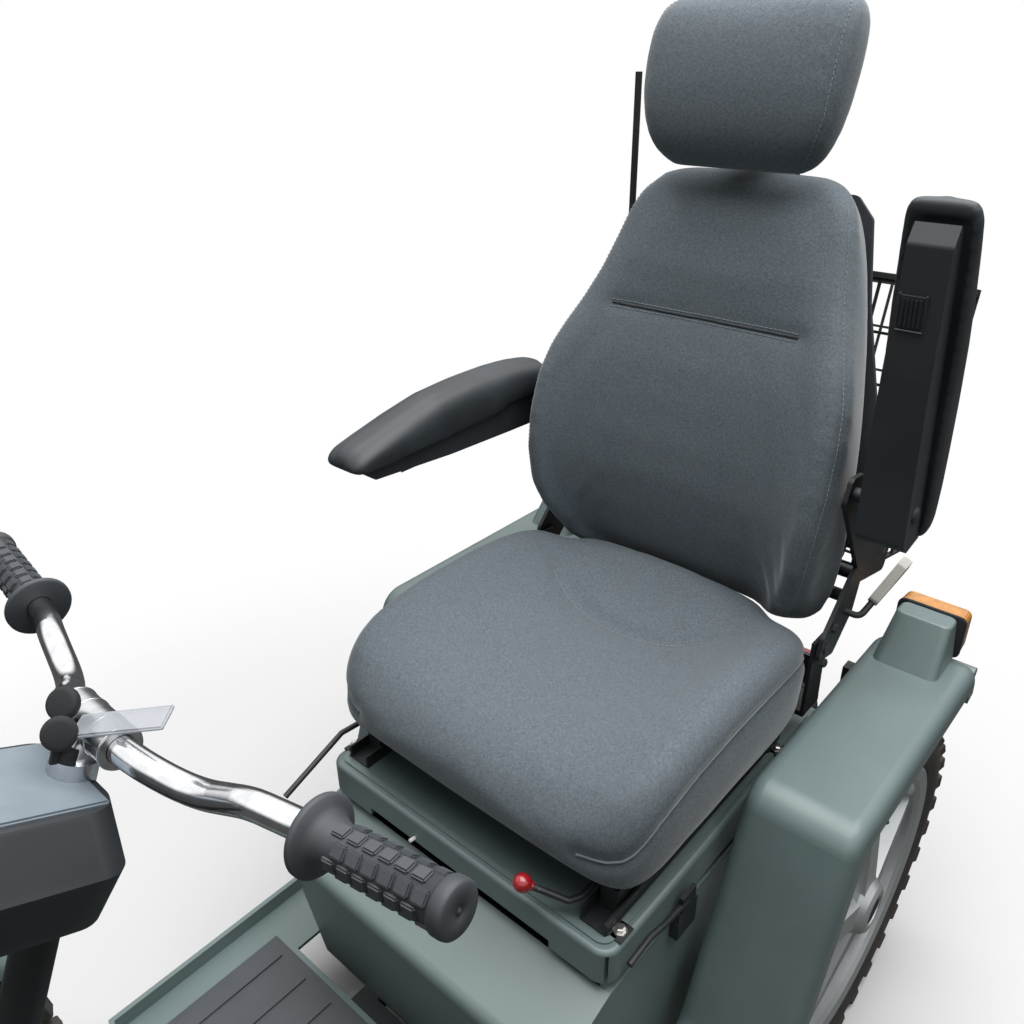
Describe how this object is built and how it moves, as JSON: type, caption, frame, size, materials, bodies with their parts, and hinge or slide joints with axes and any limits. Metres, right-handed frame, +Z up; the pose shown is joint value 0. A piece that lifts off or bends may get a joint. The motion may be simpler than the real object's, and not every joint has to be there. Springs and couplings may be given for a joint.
{
  "type": "off-road mobility scooter",
  "caption": "Off-road mobility scooter with cast wheels on knobbly tyres, raked tiller steering, sliding padded seat with folding armrests on a lidded box, and a rear wire basket.",
  "frame": {"origin": "on the ground under the middle of the outline", "axes": "+X forward, +Y to the rider's left, +Z up"},
  "size_m": [1.9591, 0.804, 1.4385],
  "materials": {
    "body_green": "satin moulded green-grey",
    "black_steel": "black powder coat",
    "bright_steel": "zinc plated",
    "drive_alloy": "cast, dull",
    "spring_steel": "black",
    "black_wire": "plastic-dipped black wire",
    "wheel_alloy": "silver cast",
    "tyre_rubber": "matt, dusty",
    "seat_fabric": "charcoal blue weave",
    "black_plastic": "fine grain",
    "pad_black": "soft moulded foam",
    "grip_rubber": "moulded",
    "bar_chrome": "bright",
    "clamp_alloy": "polished",
    "amber_lens": "moulded lens",
    "red_lens": "moulded lens",
    "clear_lens": "clear",
    "red_plastic": "moulded",
    "grey_plastic": "moulded"
  },
  "bodies": {
    "chassis": {"chassis_frame": "black_steel", "rear_axle": "drive_alloy", "seat_box": "body_green", "batteries": "black_plastic", "lid_hinges": "bright_steel", "lid_latches": "black_steel", "rear_mudguard_left": "body_green", "rear_mudguard_right": "body_green", "rear_indicators": "amber_lens", "footwell": "body_green", "floor_mat": "grip_rubber", "front_cowl": "body_green", "front_bumper": "black_steel", "rear_bumper": "black_steel", "tail_lamps": "red_lens", "front_wishbones": "black_steel", "front_spring_units": "spring_steel"},
    "lid": {"seat_lid": "body_green", "fixed_seat_rails": "black_steel"},
    "seat": {"seat_base": "black_steel", "seat_cushion": "seat_fabric", "slide_lever_knob": "red_plastic"},
    "backrest": {"backrest_cushion": "seat_fabric", "backrest_shell": "black_plastic", "back_frame": "black_steel", "headrest_cushion": "seat_fabric", "recline_lever_grip": "grey_plastic", "basket": "black_wire", "basket_rim": "black_wire"},
    "armrest_left": {"armrest_housing_left": "black_plastic", "armrest_pad_left": "pad_black"},
    "armrest_right": {"armrest_housing_right": "black_plastic", "armrest_pad_right": "pad_black"},
    "tiller": {"steering_column": "black_steel", "handlebar": "bar_chrome", "bar_clamp": "clamp_alloy", "grips": "grip_rubber", "control_pod": "black_plastic", "headlamp": "clear_lens"},
    "spindle": {"steering_spindle": "black_steel"},
    "tie_rod_left": {"tie_rod_left": "black_steel"},
    "tie_rod_right": {"tie_rod_right": "black_steel"},
    "knuckle_left": {"knuckle_left": "black_steel", "front_mudguard_left": "body_green"},
    "knuckle_right": {"knuckle_right": "black_steel", "front_mudguard_right": "body_green"},
    "wheel_front_left": {"tyre_front_left": "tyre_rubber", "rim_front_left": "wheel_alloy"},
    "wheel_front_right": {"tyre_front_right": "tyre_rubber", "rim_front_right": "wheel_alloy"},
    "wheel_rear_left": {"tyre_rear_left": "tyre_rubber", "rim_rear_left": "wheel_alloy"},
    "wheel_rear_right": {"tyre_rear_right": "tyre_rubber", "rim_rear_right": "wheel_alloy"}
  },
  "joints": [
    {"name": "lid_open", "type": "hinge", "parent": "chassis", "child": "lid", "pos_m": [-0.505, 0, 0.493], "axis": [0, -1, 0], "range_deg": [0, 30]},
    {"name": "seat_slide", "type": "slide", "parent": "lid", "child": "seat", "axis": [-1, 0, 0], "range_m": [-0.075, 0.075]},
    {"name": "backrest_recline", "type": "hinge", "parent": "seat", "child": "backrest", "pos_m": [-0.436, 0, 0.65], "axis": [0, -1, 0], "range_deg": [-8, 15]},
    {"name": "armrest_left_fold", "type": "hinge", "parent": "backrest", "child": "armrest_left", "pos_m": [-0.434, 0.28, 0.885], "axis": [0, 1, 0], "range_deg": [-12, 82]},
    {"name": "armrest_right_fold", "type": "hinge", "parent": "backrest", "child": "armrest_right", "pos_m": [-0.434, -0.28, 0.885], "axis": [0, -1, 0], "range_deg": [0, 94]},
    {"name": "steer", "type": "hinge", "parent": "chassis", "child": "tiller", "pos_m": [0.672, 0, 0.36], "axis": [-0.4215, 0, 0.9068], "range_deg": [-35, 35]},
    {"name": "spindle_turn", "type": "hinge", "parent": "chassis", "child": "spindle", "pos_m": [0.672, 0, 0.285], "axis": [0, 0, 1], "range_deg": [-30, 30]},
    {"name": "knuckle_left_turn", "type": "hinge", "parent": "chassis", "child": "knuckle_left", "pos_m": [0.703, 0.295, 0.275], "axis": [0, 0, 1], "range_deg": [-30, 30]},
    {"name": "knuckle_right_turn", "type": "hinge", "parent": "chassis", "child": "knuckle_right", "pos_m": [0.703, -0.295, 0.275], "axis": [0, 0, 1], "range_deg": [-30, 30]},
    {"name": "tie_rod_left_swing", "type": "hinge", "parent": "spindle", "child": "tie_rod_left", "pos_m": [0.562, 0, 0.238], "axis": [0, 0, 1], "range_deg": [-30, 30]},
    {"name": "tie_rod_right_swing", "type": "hinge", "parent": "spindle", "child": "tie_rod_right", "pos_m": [0.562, 0, 0.222], "axis": [0, 0, 1], "range_deg": [-30, 30]},
    {"name": "wheel_front_left_roll", "type": "hinge", "parent": "knuckle_left", "child": "wheel_front_left", "pos_m": [0.703, 0.35, 0.275], "axis": [0, 1, 0], "continuous": true},
    {"name": "wheel_front_right_roll", "type": "hinge", "parent": "knuckle_right", "child": "wheel_front_right", "pos_m": [0.703, -0.35, 0.275], "axis": [0, 1, 0], "continuous": true},
    {"name": "wheel_rear_left_roll", "type": "hinge", "parent": "chassis", "child": "wheel_rear_left", "pos_m": [-0.407, 0.35, 0.275], "axis": [0, 1, 0], "continuous": true},
    {"name": "wheel_rear_right_roll", "type": "hinge", "parent": "chassis", "child": "wheel_rear_right", "pos_m": [-0.407, -0.35, 0.275], "axis": [0, 1, 0], "continuous": true}
  ],
  "couplings": [
    {"joint": "spindle_turn", "follows": "steer", "ratio": 0.85},
    {"joint": "knuckle_left_turn", "follows": "steer", "ratio": 0.85},
    {"joint": "knuckle_right_turn", "follows": "steer", "ratio": 0.85},
    {"joint": "tie_rod_left_swing", "follows": "steer", "ratio": -0.85},
    {"joint": "tie_rod_right_swing", "follows": "steer", "ratio": -0.85}
  ]
}
